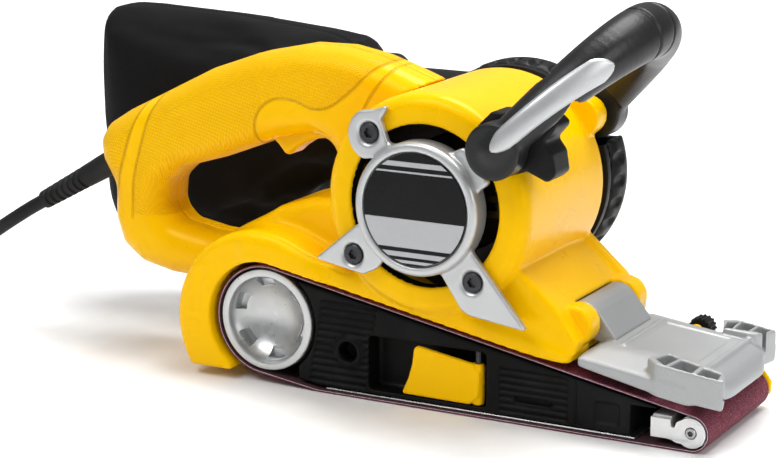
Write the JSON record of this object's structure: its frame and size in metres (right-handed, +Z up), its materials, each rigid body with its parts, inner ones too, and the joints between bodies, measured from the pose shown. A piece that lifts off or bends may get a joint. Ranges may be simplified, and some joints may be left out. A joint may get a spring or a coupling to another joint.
{
  "type": "handheld belt sander",
  "caption": "Handheld belt sander with transverse motor, D handle with trigger, pivoting front handle, flip-up nose hood, tension lever, dust bag and mains cord.",
  "frame": {"origin": "centre of the flat sanding face, on the surface being sanded", "axes": "+X towards the nose, -Y towards the open side of the belt, +Z up"},
  "size_m": [0.5863, 0.2032, 0.1865],
  "materials": {
    "yellow_plastic": "glossy, leathery grain on the grips",
    "silver_paint": "satin silver",
    "silver_metal": "satin turned",
    "steel": "bright",
    "dark_screws": "blackened",
    "black_metal": "satin black",
    "black_plastic": "fine texture",
    "soft_grip": "soft touch",
    "black_rubber": "matte",
    "badge_black": "glossy striped disc",
    "abrasive": "coarse grit",
    "cork": "pressed cork",
    "copper": "varnished windings",
    "brass": "plain",
    "bag_fabric": "coated weave"
  },
  "bodies": {
    "root": {"main_housing": "yellow_plastic", "handle_shell_near": "yellow_plastic", "handle_shell_far": "yellow_plastic", "handle_screw_1": "dark_screws", "handle_screw_2": "dark_screws", "hub_cover": "silver_paint", "hub_badge": "badge_black", "hub_screw_1": "dark_screws", "hub_screw_2": "dark_screws", "hub_screw_3": "dark_screws", "gear_plate": "black_plastic", "drive_cover": "black_plastic", "cover_screw_1": "dark_screws", "cover_screw_2": "dark_screws", "cover_screw_3": "dark_screws", "belt_frame": "black_metal", "platen": "steel", "platen_pad": "cork", "sanding_belt": "abrasive", "timing_belt": "black_rubber", "stator": "copper", "motor_bearing_near": "steel", "motor_bearing_far": "steel", "roller_bearing": "steel", "brush_holder_front": "brass", "brush_holder_rear": "brass", "switch_module": "black_plastic", "hood_pin": "steel", "lever_pin": "steel", "handle_bracket": "black_plastic", "handle_bolt_near": "dark_screws", "handle_bolt_far": "dark_screws", "dust_port": "black_plastic", "strain_relief": "black_rubber", "cord": "black_rubber", "cord_coil": "black_rubber", "coil_tie": "bag_fabric", "plug": "black_rubber"},
    "drive_roller": {"drive_roller": "silver_metal", "roller_lagging": "black_rubber", "drive_shaft": "steel", "driven_pulley": "steel"},
    "armature": {"armature": "copper", "motor_fan": "black_plastic", "motor_pulley": "steel"},
    "roller_yoke": {"roller_yoke": "steel", "front_axle": "steel", "tension_spring": "steel"},
    "front_roller": {"front_roller": "steel"},
    "tension_lever": {"tension_lever": "yellow_plastic"},
    "tracking_knob": {"tracking_knob": "soft_grip"},
    "front_hood": {"front_hood": "silver_paint"},
    "front_handle": {"front_handle": "soft_grip"},
    "trigger": {"trigger": "yellow_plastic"},
    "lock_button": {"lock_button": "black_plastic"},
    "dust_bag": {"bag_collar": "black_plastic", "dust_bag": "bag_fabric"}
  },
  "joints": [
    {"name": "drive_roller_spin", "type": "hinge", "parent": "root", "child": "drive_roller", "pos_m": [-0.12, 0, 0.0305], "axis": [0, 1, 0], "continuous": true},
    {"name": "motor_spin", "type": "hinge", "parent": "root", "child": "armature", "pos_m": [-0.0325, 0, 0.096], "axis": [0, 1, 0], "continuous": true},
    {"name": "tension_lever_swing", "type": "hinge", "parent": "root", "child": "tension_lever", "pos_m": [-0.011, -0.033, 0.0145], "axis": [0, 0, 1], "range_deg": [0, 92]},
    {"name": "yoke_slide", "type": "slide", "parent": "root", "child": "roller_yoke", "axis": [1, 0, 0], "range_m": [-0.008, 0]},
    {"name": "front_roller_spin", "type": "hinge", "parent": "roller_yoke", "child": "front_roller", "pos_m": [0.092, 0, 0.0085], "axis": [0, 1, 0], "continuous": true},
    {"name": "tracking_knob_turn", "type": "hinge", "parent": "root", "child": "tracking_knob", "pos_m": [0.064, 0.0455, 0.0305], "axis": [0, 1, 0], "range_deg": [-180, 180]},
    {"name": "hood_flip", "type": "hinge", "parent": "root", "child": "front_hood", "pos_m": [0.0334, 0, 0.0464], "axis": [0, -1, 0], "range_deg": [0, 78]},
    {"name": "front_handle_tilt", "type": "hinge", "parent": "root", "child": "front_handle", "pos_m": [0.008, 0, 0.127], "axis": [0, 1, 0], "range_deg": [-50, 30]},
    {"name": "trigger_pull", "type": "hinge", "parent": "root", "child": "trigger", "pos_m": [-0.105, 0, 0.121], "axis": [0, 1, 0], "range_deg": [0, 7], "stiffness_Nm_per_rad": 0.8},
    {"name": "lock_button_press", "type": "slide", "parent": "root", "child": "lock_button", "axis": [0, -1, 0], "range_m": [0, 0.0025], "stiffness_N_per_m": 800},
    {"name": "dust_bag_pull", "type": "slide", "parent": "root", "child": "dust_bag", "axis": [-1, 0, 0], "range_m": [0, 0.04]}
  ],
  "couplings": [
    {"joint": "motor_spin", "follows": "drive_roller_spin", "ratio": 2},
    {"joint": "front_roller_spin", "follows": "drive_roller_spin", "ratio": 3.253},
    {"joint": "tension_lever_swing", "follows": "yoke_slide", "rad_per_m": -200}
  ]
}
